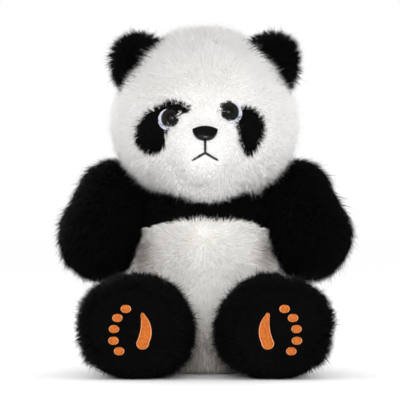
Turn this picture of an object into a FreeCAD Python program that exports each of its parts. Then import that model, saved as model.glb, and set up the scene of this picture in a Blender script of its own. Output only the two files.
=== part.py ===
import FreeCAD, Part
import math
import os

from FreeCAD import Placement, Rotation, Vector

# A sitting plush panda in millimetres. +Z is up, it faces -Y and its own left side is +X.
# The origin is the centre of the flat seat that it sits on. Every cover is plush fabric with its pile pressed
# flat; the loose pile outside it is not part of the solids.

# The levels of the pear-shaped torso, from the seat up.
TORSO_LEVELS = ("seat", "rump", "belly", "waist", "chest", "collar", "neck")

SIZES = {
    "fabric": 2.5,  # thickness of plush fabric, pile pressed flat
    "clearance": 0.35,  # left between two bodies that move on each other
    # torso: height, half width and half depth of each level
    "seat_height": 0,
    "seat_width": 44,
    "seat_depth": 38,
    "rump_height": 12,
    "rump_width": 57,
    "rump_depth": 49,
    "belly_height": 42,
    "belly_width": 64,
    "belly_depth": 55,
    "waist_height": 78,
    "waist_width": 60,
    "waist_depth": 51,
    "chest_height": 110,
    "chest_width": 53,
    "chest_depth": 45,
    "collar_height": 134,
    "collar_width": 45,
    "collar_depth": 38,
    "neck_height": 146,
    "neck_width": 32,
    "neck_depth": 27,
    "yoke_height": 124,  # where the black shoulders meet the pale belly
    "pellet_bag_height": 24,
    "pellet_bag_width": 34,
    "pellet_bag_depth": 26,
    "pellet_bag_thickness": 15,
    "tail_height": 30,
    "tail_length": 13,
    "tail_width": 13,
    "stitch_count": 9,
    "stitch_pitch": 5,
    "stitch_length": 7,
    "thread": 1.2,
    # head: widest at head_height, with a tall crown above it and a shorter jaw below, cut flat at the neck
    "head_width": 69,
    "head_depth": 60,
    "head_crown": 77,
    "head_jaw": 57,
    "head_forward": 5,
    "head_height": 197,
    "muzzle_width": 27,
    "muzzle_depth": 17,
    "muzzle_tall": 21,
    "muzzle_forward": 56,
    "muzzle_height": 181,
    "ear_width": 22.5,
    "ear_length": 27,
    "ear_thickness": 8,
    "ear_side": 46,
    "ear_forward": 13,
    "ear_height": 243,
    "ear_lean": 50,  # degrees from upright, outwards
    # eyes and nose: plastic, with a shank held by a washer inside the cover
    "eye_radius": 7.5,
    "eye_dome": 5.5,
    "eye_white_radius": 8.4,
    "eye_white_thickness": 1.2,
    "left_eye_side": 19,
    "left_eye_height": 208,
    "right_eye_side": 27,
    "right_eye_height": 203,
    "eye_white_shift": 1.9,  # outwards from the eye's own axis
    "shank_radius": 2,
    "eye_shank": 11,
    "washer_radius": 7,
    "washer_thickness": 1.5,
    "nose_width": 20,
    "nose_tall": 11,
    "nose_thickness": 5,
    "nose_height": 191,
    "nose_shank": 28,
    "patch_thickness": 1.6,
    # embroidered mouth, thread laid on the muzzle
    "mouth_top": 185,
    "mouth_fork": 175.5,
    "mouth_end_side": 9.5,
    "mouth_end_height": 170,
    # arms: a small ball at the shoulder, a large one at the paw
    "shoulder_side": 73,
    "shoulder_back": 12,
    "shoulder_height": 141,
    "shoulder_radius": 26,
    "paw_side": 84,
    "paw_forward": 6,
    "paw_height": 110,
    "paw_radius": 29,
    # legs: a small ball at the hip, a large one at the foot, cut flat at the sole
    "hip_side": 49,
    "hip_forward": 50,
    "hip_height": 37.8,
    "hip_radius": 31,
    "foot_radius": 37.5,
    "leg_length": 36,
    "sole_distance": 57,
    "leg_splay": 6,
    "leg_lift": 25,
    # embroidered foot pads, raised from the sole
    "pad_thickness": 1.2,
    "pad_length": 28,
    "pad_bottom_radius": 5,
    "pad_top_radius": 1.7,
    "pad_bow": 7,  # how far its round side stands out at the middle
    "pad_hollow": 1.9,  # and its hollow side
    "pad_inwards": 7,
    "toe_width": 4.1,
    "toe_tall": 3,
}

# Each toe pad's place on the sole: outwards and up from the sole's centre.
TOE_PLACES = ((6, 17), (12.5, 10), (15.2, 1.5), (15.6, -7.5), (11.2, -15.5))

# Each eye patch seen from the front: side and height of the points that its smooth outline passes through.
PATCH_OUTLINES = {
    "left": (
        (30.5, 210),
        (37.5, 208.5),
        (43, 202),
        (44, 194),
        (41, 184.5),
        (34, 177),
        (30.5, 183),
        (27.5, 195),
    ),
    "right": (
        (-53, 187.5),
        (-50.5, 198.5),
        (-43, 207),
        (-32.5, 212),
        (-23, 214),
        (-14.5, 210),
        (-24.5, 203),
        (-32, 192.5),
        (-33, 183.5),
        (-40, 178),
        (-49, 181),
    ),
}

LIFT_STEPS = 3  # positions of a lifting leg that its hollow in the torso is made from

REACH = 400  # longer than the whole toy, for the boxes that cut it

doc = FreeCAD.newDocument("plush_panda")
sheet = doc.addObject("Spreadsheet::Sheet", "Sizes")
parts = []


def fill_sheet():
    """Writes each driving dimension beside its name."""
    for row, (name, value) in enumerate(SIZES.items(), start=1):
        sheet.set(f"A{row}", name)
        sheet.set(f"B{row}", str(value))
        sheet.setAlias(f"B{row}", name)
    doc.recompute()


def size(name):
    """A driving dimension as a plain number."""
    return float(sheet.get(name))


def put(obj, x="0", y="0", z="0"):
    """Binds the object's place to formulas in the sheet's names."""
    obj.setExpression("Placement.Base.x", x)
    obj.setExpression("Placement.Base.y", y)
    obj.setExpression("Placement.Base.z", z)
    return obj


def ellipsoid(name, width, depth, tall, x="0", y="0", z="0"):
    """An ellipsoid with half sizes along X, Y and Z."""
    body = doc.addObject("Part::Ellipsoid", name)
    body.Angle1 = -90
    body.setExpression("Radius2", width)
    body.setExpression("Radius3", depth)
    body.setExpression("Radius1", tall)
    return put(body, x, y, z)


def sphere(name, radius, x="0", y="0", z="0"):
    ball = doc.addObject("Part::Sphere", name)
    ball.setExpression("Radius", radius)
    return put(ball, x, y, z)


def cylinder(name, radius, height, z="0"):
    rod = doc.addObject("Part::Cylinder", name)
    rod.setExpression("Radius", radius)
    rod.setExpression("Height", height)
    return put(rod, z=z)


def slab(name, low, high, front=f"-{REACH}", back=f"{REACH}"):
    """A wide box between two heights, and if given between two depths."""
    box = doc.addObject("Part::Box", name)
    box.Length = 2 * REACH
    box.setExpression("Width", f"({back}) - ({front})")
    box.setExpression("Height", f"({high}) - ({low})")
    return put(box, f"-{REACH}", front, low)


def cut(name, base, *tools):
    """The base without the tools."""
    for index, tool in enumerate(tools, start=1):
        result = doc.addObject("Part::Cut", name if index == len(tools) else f"{name}_step{index}")
        result.Base = base
        result.Tool = tool
        base = result
    return base


def common(name, base, tool):
    result = doc.addObject("Part::Common", name)
    result.Base = base
    result.Tool = tool
    return result


def fuse(name, *shapes):
    result = doc.addObject("Part::MultiFuse", name)
    result.Shapes = list(shapes)
    return result


def keep(obj, label):
    """Marks the object as a sub-part, which is written to a file of its own."""
    obj.Label = label
    parts.append(obj)
    return obj


def feature(name, shape, placement=Placement()):
    """A sub-part or tool whose shape is made in code."""
    obj = doc.addObject("Part::Feature", name)
    obj.Shape = shape
    obj.Placement = placement
    return obj


# ---- limbs -------------------------------------------------------------------


def taper(name, near_radius, far_radius, length):
    """Two balls and the cone that touches both, along local +Z from the near ball's centre."""
    lean = f"asin((({far_radius}) - ({near_radius})) / ({length}))"
    near = sphere(f"{name}_near", near_radius)
    far = sphere(f"{name}_far", far_radius, z=length)
    cone = doc.addObject("Part::Cone", f"{name}_cone")
    cone.setExpression("Radius1", f"({near_radius}) * cos({lean})")
    cone.setExpression("Radius2", f"({far_radius}) * cos({lean})")
    start = f"-({near_radius}) * sin({lean})"
    end = f"({length}) - ({far_radius}) * sin({lean})"
    cone.setExpression("Height", f"({end}) - ({start})")
    put(cone, z=start)
    return fuse(name, near, cone, far)


def make_arm(side, sign):
    """An arm's stuffing and the cover sewn round it."""
    shoulder = Vector(sign * size("shoulder_side"), size("shoulder_back"), size("shoulder_height"))
    paw = Vector(sign * size("paw_side"), -size("paw_forward"), size("paw_height"))
    along = paw - shoulder
    placement = Placement(shoulder, Rotation(Vector(0, 0, 1), along))
    length = str(along.Length)
    outer = taper(f"{side}_arm_outer", "Sizes.shoulder_radius", "Sizes.paw_radius", length)
    stuffing = taper(
        f"{side}_arm_inner",
        "Sizes.shoulder_radius - Sizes.fabric",
        "Sizes.paw_radius - Sizes.fabric",
        length,
    )
    outer.Placement = placement
    stuffing.Placement = placement
    keep(stuffing, f"{side}_arm_stuffing")
    keep(cut(f"{side}_arm_shell", outer, stuffing), f"{side}_arm_cover")


def leg_placement(sign, lift=0):
    """Local +Z points forward along the leg, local +X to the toy's left. A lift in degrees raises it."""
    hip = Vector(sign * size("hip_side"), -size("hip_forward"), size("hip_height"))
    forward = Rotation(Vector(1, 0, 0), Vector(0, 0, 1), Vector(0, -1, 0), "ZXY")
    splay = Rotation(Vector(0, 0, 1), sign * size("leg_splay"))
    raised = Rotation(Vector(-1, 0, 0), lift)
    return Placement(hip, raised.multiply(splay).multiply(forward))


def make_leg(side, sign):
    """A leg's stuffing, the cover round it and the flat sole panel that closes it."""
    placement = leg_placement(sign)
    outer = taper(f"{side}_leg_outer", "Sizes.hip_radius", "Sizes.foot_radius", "Sizes.leg_length")
    inner = taper(
        f"{side}_leg_inner",
        "Sizes.hip_radius - Sizes.fabric",
        "Sizes.foot_radius - Sizes.fabric",
        "Sizes.leg_length",
    )
    behind_sole = slab(f"{side}_leg_part", f"-{REACH}", "Sizes.sole_distance - Sizes.fabric")
    sole_slab = slab(f"{side}_sole_slab", "Sizes.sole_distance - Sizes.fabric", "Sizes.sole_distance")
    stuffing = common(f"{side}_leg_fill", inner, behind_sole)
    cover = cut(f"{side}_leg_shell", common(f"{side}_leg_body", outer, behind_sole), inner)
    sole = common(f"{side}_sole", outer, sole_slab)
    for piece, label in ((stuffing, "leg_stuffing"), (cover, "leg_cover"), (sole, "sole_panel")):
        piece.Placement = placement
        keep(piece, f"{side}_{label}")
    make_pads(side, sign, placement)


def crescent(inwards):
    """The main pad's face: a banana, wide and round below, narrow above, bowed towards the other foot."""
    half = size("pad_length") / 2
    low = size("pad_bottom_radius")
    high = size("pad_top_radius")
    bottom = Vector(0, low - half, 0)
    top = Vector(0, half - high, 0)
    round_side = Vector(inwards * size("pad_bow"), 0, 0)
    hollow_side = Vector(-inwards * size("pad_hollow"), 0, 0)
    across_bottom = Vector(inwards * low, 0, 0)
    across_top = Vector(inwards * high, 0, 0)
    edges = [
        Part.Arc(bottom + across_bottom, bottom - Vector(0, low, 0), bottom - across_bottom).toShape(),
        Part.Arc(bottom - across_bottom, hollow_side, top - across_top).toShape(),
        Part.Arc(top - across_top, top + Vector(0, high, 0), top + across_top).toShape(),
        Part.Arc(top + across_top, round_side, bottom + across_bottom).toShape(),
    ]
    return Part.Face(Part.Wire(edges))


def make_pads(side, sign, placement):
    """The embroidered main pad and five toe pads, on the sole."""
    on_sole = placement.multiply(Placement(Vector(0, 0, size("sole_distance")), Rotation()))
    pad = crescent(-sign).extrude(Vector(0, 0, size("pad_thickness")))
    inside = Placement(Vector(-sign * size("pad_inwards"), 0, 0), Rotation())
    keep(feature(f"{side}_pad", pad, on_sole.multiply(inside)), f"{side}_main_pad")
    toes = []
    for index, (outwards, up) in enumerate(TOE_PLACES, start=1):
        radii = ("Sizes.toe_width", "Sizes.toe_tall", "Sizes.pad_thickness")
        toe = ellipsoid(f"{side}_toe{index}", *radii, str(sign * outwards), str(up))
        toe.Angle1 = 0
        toes.append(toe)
    group = doc.addObject("Part::Compound", f"{side}_toes")
    group.Links = toes
    group.Placement = on_sole
    keep(group, f"{side}_toe_pads")


# ---- torso -------------------------------------------------------------------


def torso_form(name, inset):
    """The pear-shaped form through the torso's levels, smaller by the inset all round."""
    rings = []
    for level in TORSO_LEVELS:
        ring = doc.addObject("Part::Ellipse", f"{name}_{level}")
        ring.setExpression("MajorRadius", f"Sizes.{level}_width - {inset}")
        ring.setExpression("MinorRadius", f"Sizes.{level}_depth - {inset}")
        lift = {"seat": f" + {inset}", "neck": f" - {inset}"}.get(level, "")
        put(ring, z=f"Sizes.{level}_height{lift}")
        rings.append(ring)
    form = doc.addObject("Part::Loft", name)
    form.Sections = rings
    form.Solid = True
    return form


def sockets(name, extra):
    """The hollows at the shoulders and hips: the space that the limbs turn in, larger by a formula."""
    grown = f"Sizes.clearance + {extra}"
    tools = []
    for side, sign in (("left", 1), ("right", -1)):
        tools.append(
            sphere(
                f"{name}_{side}_shoulder",
                f"Sizes.shoulder_radius + {grown}",
                f"{sign} * Sizes.shoulder_side",
                "Sizes.shoulder_back",
                "Sizes.shoulder_height",
            )
        )
        for step in range(LIFT_STEPS + 1):
            leg = taper(
                f"{name}_{side}_hip{step}",
                f"Sizes.hip_radius + {grown}",
                f"Sizes.foot_radius + {grown}",
                "Sizes.leg_length",
            )
            leg.Placement = leg_placement(sign, size("leg_lift") * step / LIFT_STEPS)
            tools.append(leg)
    return tools


def make_torso():
    """Covers of the torso, its stuffing and the bag of pellets that keeps it sitting."""
    outer = cut("torso_outer", torso_form("torso_form", "0"), *sockets("socket", "0"))
    inner = cut("torso_inner", torso_form("torso_core", "Sizes.fabric"), *sockets("wall", "Sizes.fabric"))
    shell = cut("torso_shell", outer, inner)
    middle = ("Sizes.fabric", "Sizes.yoke_height")
    yoke_part = slab("yoke_part", "Sizes.yoke_height", f"{REACH}")
    keep(common("yoke", shell, yoke_part), "shoulder_yoke")
    keep(common("belly", shell, slab("belly_part", *middle, back="0")), "belly_panel")
    keep(common("back", shell, slab("back_part", *middle, front="0")), "back_panel")
    keep(common("seat", outer, slab("seat_part", "-Sizes.fabric", "Sizes.fabric")), "seat_panel")
    bag = ellipsoid(
        "pellets",
        "Sizes.pellet_bag_width",
        "Sizes.pellet_bag_depth",
        "Sizes.pellet_bag_thickness",
        y="5",
        z="Sizes.pellet_bag_height",
    )
    keep(bag, "pellet_bag")
    keep(cut("torso_fill", inner, bag), "torso_stuffing")
    tail = ellipsoid(
        "tail_form",
        "Sizes.tail_width",
        "Sizes.tail_length",
        "Sizes.tail_width",
        y="Sizes.belly_depth - 1",
        z="Sizes.tail_height",
    )
    keep(cut("tail_cut", tail, torso_form("tail_seat", "0")), "tail")
    make_closing_stitches(outer)


def make_closing_stitches(outer):
    """Short threads across the seam at the middle of the back, laid on the fabric."""
    thread = size("thread")
    low = size("waist_height") - size("stitch_pitch") * (size("stitch_count") - 1) / 2
    bars = []
    for index in range(int(size("stitch_count"))):
        bar = Part.makeBox(size("stitch_length"), size("belly_depth"), thread)
        bar.translate(Vector(-size("stitch_length") / 2, 0, low + index * size("stitch_pitch")))
        bars.append(bar)
    raised = torso_form("stitch_skin", "-0.5 * Sizes.thread")
    doc.recompute()
    lifted = raised.Shape.cut(outer.Shape)
    keep(feature("stitches", Part.makeCompound(bars).common(lifted)), "closing_stitches")


# ---- head --------------------------------------------------------------------


def head_form(name, grow):
    """The head's crown and jaw, half ellipsoids that meet at its widest level, larger by a formula."""
    halves = []
    for part, tall, low, high in (("crown", "Sizes.head_crown", 0, 90), ("jaw", "Sizes.head_jaw", -90, 0)):
        half = ellipsoid(
            f"{name}_{part}",
            f"Sizes.head_width + {grow}",
            f"Sizes.head_depth + {grow}",
            f"{tall} + {grow}",
            y="-Sizes.head_forward",
            z="Sizes.head_height",
        )
        half.Angle1 = low
        half.Angle2 = high
        halves.append(half)
    return fuse(name, *halves)


def muzzle_form(name, grow):
    return ellipsoid(
        name,
        f"Sizes.muzzle_width + {grow}",
        f"Sizes.muzzle_depth + {grow}",
        f"Sizes.muzzle_tall + {grow}",
        y="-Sizes.muzzle_forward",
        z="Sizes.muzzle_height",
    )


def front_of(centre, radii, x, z):
    """A frame on an ellipsoid's front: origin on the surface, local +Z outwards, local +X level."""
    side = (x - centre.x) / radii.x
    up = (z - centre.z) / radii.z
    depth = math.sqrt(1 - side**2 - up**2)
    point = Vector(x, centre.y - radii.y * depth, z)
    outwards = Vector(side / radii.x, -depth / radii.y, up / radii.z)
    return Placement(point, Rotation(Vector(1, 0, 0), Vector(0, 0, 1), outwards, "ZXY"))


def head_front(x, z):
    centre = Vector(0, -size("head_forward"), size("head_height"))
    tall = size("head_crown") if z > centre.z else size("head_jaw")
    return front_of(centre, Vector(size("head_width"), size("head_depth"), tall), x, z)


def muzzle_front(x, z):
    centre = Vector(0, -size("muzzle_forward"), size("muzzle_height"))
    radii = Vector(size("muzzle_width"), size("muzzle_depth"), size("muzzle_tall"))
    return front_of(centre, radii, x, z)


def washer(name, label, frame, depth):
    """A ring pressed on a shank inside the cover, its outer face at the given depth."""
    disc = cylinder(f"{name}_disc", "Sizes.washer_radius", "Sizes.washer_thickness")
    hole = cylinder(f"{name}_hole", "Sizes.shank_radius", "Sizes.washer_thickness")
    ring = cut(name, disc, hole)
    ring.Placement = frame.multiply(Placement(Vector(0, 0, -depth - size("washer_thickness")), Rotation()))
    keep(ring, label)


def make_eye(side, sign):
    """A plastic dome with its shank, the pale disc behind it and the washer that holds both."""
    frame = head_front(sign * size(f"{side}_eye_side"), size(f"{side}_eye_height"))
    dome = ellipsoid(f"{side}_dome", "Sizes.eye_radius", "Sizes.eye_radius", "Sizes.eye_dome")
    dome.Angle1 = 0
    put(dome, z="Sizes.eye_white_thickness")
    shank = cylinder(f"{side}_shank", "Sizes.shank_radius", "Sizes.eye_shank", "1 - Sizes.eye_shank")
    neck = cylinder(f"{side}_neck", "Sizes.shank_radius", "Sizes.eye_white_thickness + 0.5")
    eye = fuse(f"{side}_eye_form", dome, shank, neck)
    eye.Placement = frame
    keep(eye, f"{side}_eye")
    disc = cylinder(f"{side}_white_disc", "Sizes.eye_white_radius", "Sizes.eye_white_thickness")
    disc.setExpression("Placement.Base.x", f"{sign} * Sizes.eye_white_shift")
    disc.setExpression("Placement.Base.y", "-0.5 * Sizes.eye_white_shift")
    hole = cylinder(f"{side}_white_hole", "Sizes.shank_radius", "Sizes.eye_white_thickness")
    white = cut(f"{side}_white", disc, hole)
    white.Placement = frame
    keep(white, f"{side}_eye_white")
    washer(f"{side}_ring", f"{side}_eye_washer", frame, size("fabric") + 1.5)
    return frame


def nose_face():
    """A rounded triangle, wide above: one flat arc over the top and one down each side."""
    half = size("nose_width") / 2
    top = size("nose_tall") * 0.4
    tip = Vector(0, top - size("nose_tall"), 0)
    corner = top * 0.5
    belly = Vector(half * 0.78, -size("nose_tall") * 0.3, 0)
    right = Vector(half, corner, 0)
    left = Vector(-half, corner, 0)
    arcs = [
        Part.Arc(left, Vector(0, top, 0), right),
        Part.Arc(right, belly, tip),
        Part.Arc(tip, Vector(-belly.x, belly.y, 0), left),
    ]
    return Part.Face(Part.Wire([arc.toShape() for arc in arcs]))


def make_nose():
    """A domed triangle of plastic with its shank, and its washer inside the head."""
    frame = muzzle_front(0, size("nose_height"))
    prism = feature("nose_prism", nose_face().extrude(Vector(0, 0, size("nose_thickness"))))
    dome = ellipsoid("nose_dome", "0.62 * Sizes.nose_width", "0.8 * Sizes.nose_tall", "Sizes.nose_thickness")
    dome.Angle1 = 0
    shank = cylinder("nose_pin", "Sizes.shank_radius", "Sizes.nose_shank", "1 - Sizes.nose_shank")
    nose = fuse("nose_form", common("nose_pad", prism, dome), shank)
    nose.Placement = frame
    keep(nose, "nose")
    washer("nose_ring", "nose_washer", frame, size("nose_shank") - 5)
    return frame


def well(name, frame, radius, depth):
    """A round hole into the head from a place on its front, for a shank or a washer."""
    return feature(name, Part.makeCylinder(radius, depth, Vector(0, 0, -depth)), frame)


def make_patch(side, sign, eye_frame):
    """The dark patch round an eye: a smooth outline carried back onto the head, open where the eye sits."""
    curve = Part.BSplineCurve()
    curve.interpolate([Vector(x, -REACH, z) for x, z in PATCH_OUTLINES[side]], PeriodicFlag=True)
    prism = Part.Face(Part.Wire(curve.toShape())).extrude(Vector(0, REACH, 0))
    skin = head_form(f"{side}_patch_skin", "Sizes.patch_thickness")
    raised = common(f"{side}_patch_form", skin, feature(f"{side}_prism", prism))
    shift = size("eye_white_shift")
    rim = eye_frame.multiply(Placement(Vector(sign * shift, -0.5 * shift, 0), Rotation()))
    depth = 2 * size("eye_white_radius")
    hole = Part.makeCylinder(size("eye_white_radius") + 0.2, 2 * depth, Vector(0, 0, -depth))
    opening = feature(f"{side}_patch_hole", hole, rim)
    eye_hole = Part.makeCylinder(size("eye_radius") + 0.2, 2 * depth, Vector(0, 0, -depth))
    eye_opening = feature(f"{side}_patch_eye_hole", eye_hole, eye_frame)
    base = head_form(f"{side}_patch_base", "0")
    keep(cut(f"{side}_patch", raised, base, opening, eye_opening), f"{side}_eye_patch")


def make_ear(side, sign):
    """A flat round ear sewn to the head's upper side."""
    form = ellipsoid(
        f"{side}_ear_form",
        "Sizes.ear_width",
        "Sizes.ear_thickness",
        "Sizes.ear_length",
        f"{sign} * Sizes.ear_side",
        "-Sizes.ear_forward",
        "Sizes.ear_height",
    )
    form.Placement.Rotation = Rotation(Vector(0, 1, 0), sign * size("ear_lean"))
    keep(cut(f"{side}_ear_cut", form, head_form(f"{side}_ear_seat", "0")), f"{side}_ear")


def make_mouth(muzzle):
    """One thread down from the nose and two out to the corners, laid on the muzzle."""
    thread = size("thread")
    front = -size("muzzle_forward")
    fork = Vector(0, 0, size("mouth_fork"))
    ends = [
        Vector(0, 0, size("mouth_top")),
        Vector(size("mouth_end_side"), 0, size("mouth_end_height")),
        Vector(-size("mouth_end_side"), 0, size("mouth_end_height")),
    ]
    strips = []
    for end in ends:
        along = end - fork
        strip = Part.makeBox(thread, REACH, along.Length + thread / 2, Vector(-thread / 2, front - REACH, 0))
        strip.Placement = Placement(fork, Rotation(Vector(0, 0, 1), along))
        strips.append(strip)
    raised = muzzle_form("mouth_skin", "0.5 * Sizes.thread")
    doc.recompute()
    path = strips[0].fuse(strips[1:])
    keep(feature("mouth", raised.Shape.cut(muzzle.Shape).common(path)), "mouth_stitches")


def make_head():
    """The cover, the muzzle on its front, the face's small pieces and the stuffing."""
    frames = {side: make_eye(side, sign) for side, sign in (("left", 1), ("right", -1))}
    nose_frame = make_nose()
    shank_wells = []
    washer_wells = []
    for name, frame, reach in (
        ("left_eye", frames["left"], "eye_shank"),
        ("right_eye", frames["right"], "eye_shank"),
        ("nose", nose_frame, "nose_shank"),
    ):
        shank_wells.append(well(f"{name}_shank_well", frame, size("shank_radius"), size(reach)))
        washer_wells.append(well(f"{name}_washer_well", frame, size("washer_radius") + 0.5, size(reach) + 2))
    above_neck = slab("above_neck", "Sizes.neck_height + Sizes.clearance", f"{REACH}")
    above_lining = slab("above_lining", "Sizes.neck_height + Sizes.clearance + Sizes.fabric", f"{REACH}")
    outer = common("head_outer", head_form("head_skin", "0"), above_neck)
    inner = common("head_inner", head_form("head_core", "-Sizes.fabric"), above_lining)
    keep(cut("head_shell", outer, inner, *shank_wells), "head_cover")
    keep(cut("head_fill", inner, *washer_wells), "head_stuffing")
    nose_well = shank_wells[-1]
    muzzle = cut("muzzle_cut", muzzle_form("muzzle_skin", "0"), head_form("muzzle_seat", "0"), nose_well)
    keep(muzzle, "muzzle_panel")
    make_mouth(muzzle_form("mouth_base", "0"))
    for side, sign in (("left", 1), ("right", -1)):
        make_ear(side, sign)
        make_patch(side, sign, frames[side])


def write_parts():
    """Checks every object and writes each sub-part to its own file."""
    doc.recompute()
    for obj in doc.Objects:
        if "Invalid" in obj.State or "Error" in obj.State:
            raise RuntimeError(f"{obj.Label} failed: {obj.State}")
    os.makedirs("parts", exist_ok=True)
    for part in parts:
        if part.Shape.isNull() or not part.Shape.isValid():
            raise RuntimeError(f"{part.Label} has no valid shape")
        part.Shape.exportStep(f"parts/{part.Label}.step")
        print(part.Label, round(part.Shape.Volume), len(part.Shape.Solids))


fill_sheet()
for side, sign in (("left", 1), ("right", -1)):
    make_arm(side, sign)
    make_leg(side, sign)
make_torso()
make_head()
write_parts()
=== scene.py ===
import math

import bmesh
import bpy
import numpy as np
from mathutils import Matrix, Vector
from mathutils.bvhtree import BVHTree


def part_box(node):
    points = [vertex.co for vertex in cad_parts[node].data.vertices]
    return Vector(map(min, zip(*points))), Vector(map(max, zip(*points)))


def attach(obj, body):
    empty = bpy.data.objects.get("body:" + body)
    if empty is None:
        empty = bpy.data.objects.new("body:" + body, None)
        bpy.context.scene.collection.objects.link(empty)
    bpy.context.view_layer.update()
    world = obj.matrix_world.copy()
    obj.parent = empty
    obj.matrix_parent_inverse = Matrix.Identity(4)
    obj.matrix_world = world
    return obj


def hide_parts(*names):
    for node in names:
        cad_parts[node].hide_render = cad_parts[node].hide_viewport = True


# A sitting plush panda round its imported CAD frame. It faces -Y, and its own left side is +X. All sizes are in
# metres. Each stuffed cover is a soft form made from its CAD cover. Its pile is real strands: tapered spikes
# with three sides that bend once and are gathered into tufts.

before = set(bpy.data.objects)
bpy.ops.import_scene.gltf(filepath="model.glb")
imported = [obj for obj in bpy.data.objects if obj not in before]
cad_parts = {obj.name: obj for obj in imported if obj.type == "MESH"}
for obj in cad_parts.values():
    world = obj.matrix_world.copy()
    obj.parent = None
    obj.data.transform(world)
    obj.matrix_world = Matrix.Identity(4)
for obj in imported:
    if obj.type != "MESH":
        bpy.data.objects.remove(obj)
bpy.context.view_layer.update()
SIDES = (("left", 1), ("right", -1))
MM = 0.001
DENSITY = 1.0
STRANDS_PER_PIECE = 21000  # keeps each piece under 200,000 triangles
FLOOR_GAP = 0.0004  # skins and strands flatten this far above the floor
SINK = 0.6 * MM  # how deep strands are rooted in their skin
STRAND_POINTS = 7  # two rings of three and a tip
UV_MARGIN = 0.02  # keeps the strands' texture places off the picture's edge
WISP_STRETCH = 1.35  # how much longer than the rest the wisps are
PILE_UV = "OFBake"  # u is a strand's shade, v runs from its root to its tip
ROOT_SHARE = 0.45  # how much of its tip's colour a strand has at its root


# ---- repeatable noise --------------------------------------------------------


def lattice(cells, seed):
    """A repeatable number from -1 to 1 for each whole-numbered cell. Large primes scramble its place."""
    mixed = (cells[..., 0] * 73856093) ^ (cells[..., 1] * 19349663)
    mixed = mixed ^ (cells[..., 2] * 83492791) ^ (seed * 7919)
    mixed = (mixed ^ (mixed >> 13)) * 1274126177
    mixed = (mixed ^ (mixed >> 16)) & 0xFFFFFF
    return mixed / float(0x7FFFFF) - 1


def smooth_noise(points, size, seed):
    """Noise from -1 to 1 that changes over the given size."""
    scaled = points / size
    low = np.floor(scaled).astype(np.int64)
    part = scaled - low
    part = part * part * (3 - 2 * part)
    total = np.zeros(len(points))
    for corner in np.ndindex(2, 2, 2):
        weight = np.prod(np.where(np.array(corner) == 1, part, 1 - part), axis=1)
        total += weight * lattice(low + np.array(corner), seed)
    return total


def noise_vectors(points, size, seed):
    return np.stack([smooth_noise(points, size, seed + axis) for axis in range(3)], axis=1)


def tuft_centres(points, size, seed):
    """For each point, the nearest of a scatter of centres about one size apart."""
    base = np.floor(points / size).astype(np.int64)
    best = np.full(len(points), np.inf)
    centres = np.zeros_like(points)
    for step in np.ndindex(3, 3, 3):
        cell = base + np.array(step) - 1
        jitter = np.stack([lattice(cell, seed + axis) for axis in range(3)], axis=1)
        centre = (cell + 0.5 + 0.45 * jitter) * size
        distance = np.linalg.norm(points - centre, axis=1)
        nearer = distance < best
        best[nearer] = distance[nearer]
        centres[nearer] = centre[nearer]
    return centres


def unit(vectors):
    return vectors / np.maximum(np.linalg.norm(vectors, axis=1, keepdims=True), 1e-9)


def smooth_step(values, low, high):
    share = np.clip((values - low) / (high - low), 0, 1)
    return share * share * (3 - 2 * share)


# ---- materials ---------------------------------------------------------------


def new_material(name):
    material = bpy.data.materials.new(name)
    material.use_nodes = True
    tree = material.node_tree
    return material, tree.nodes, tree.links, tree.nodes["Principled BSDF"]


def mix_colour(nodes, links, factor, first, second):
    """A Mix node between two colours or links, by a factor link."""
    mix = nodes.new("ShaderNodeMix")
    mix.data_type = "RGBA"
    links.new(factor, mix.inputs["Factor"])
    for socket, value in ((mix.inputs[6], first), (mix.inputs[7], second)):
        if isinstance(value, bpy.types.NodeSocket):
            links.new(value, socket)
        else:
            socket.default_value = (*value, 1)
    return mix.outputs[2]


def pile_material(name, root, tips, roughness, sheen=0.0, specular=0.2):
    """Strands that change from a root colour to a tip colour, which each strand's shade picks from a row."""
    material, nodes, links, shader = new_material(name)
    place = nodes.new("ShaderNodeUVMap")
    place.uv_map = PILE_UV
    split = nodes.new("ShaderNodeSeparateXYZ")
    links.new(place.outputs["UV"], split.inputs["Vector"])
    ramp = nodes.new("ShaderNodeValToRGB")
    ramp.color_ramp.elements[0].color = (*tips[0], 1)
    ramp.color_ramp.elements[1].color = (*tips[-1], 1)
    for index, colour in enumerate(tips[1:-1], start=1):
        ramp.color_ramp.elements.new(index / (len(tips) - 1)).color = (*colour, 1)
    links.new(split.outputs["X"], ramp.inputs["Fac"])
    along = nodes.new("ShaderNodeMapRange")
    along.inputs["To Min"].default_value = ROOT_SHARE
    links.new(split.outputs["Y"], along.inputs["Value"])
    colour = mix_colour(nodes, links, along.outputs["Result"], root, ramp.outputs["Color"])
    links.new(colour, shader.inputs["Base Color"])
    shader.inputs["Roughness"].default_value = roughness
    shader.inputs["Specular IOR Level"].default_value = specular
    shader.inputs["Sheen Weight"].default_value = sheen
    shader.inputs["Sheen Roughness"].default_value = 0.4
    return material


def noisy_material(name, first, second, scale, roughness, bump=0.0, sheen=0.0, specular=0.3):
    """A surface whose colour wanders between two shades, with a fine bump."""
    material, nodes, links, shader = new_material(name)
    place = nodes.new("ShaderNodeTexCoord")
    noise = nodes.new("ShaderNodeTexNoise")
    noise.inputs["Scale"].default_value = scale
    noise.inputs["Detail"].default_value = 4
    links.new(place.outputs["Object"], noise.inputs["Vector"])
    links.new(mix_colour(nodes, links, noise.outputs["Fac"], first, second), shader.inputs["Base Color"])
    if bump:
        relief = nodes.new("ShaderNodeBump")
        relief.inputs["Strength"].default_value = bump
        relief.inputs["Distance"].default_value = 0.3 * MM
        links.new(noise.outputs["Fac"], relief.inputs["Height"])
        links.new(relief.outputs["Normal"], shader.inputs["Normal"])
    shader.inputs["Roughness"].default_value = roughness
    shader.inputs["Specular IOR Level"].default_value = specular
    shader.inputs["Sheen Weight"].default_value = sheen
    return material


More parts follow.
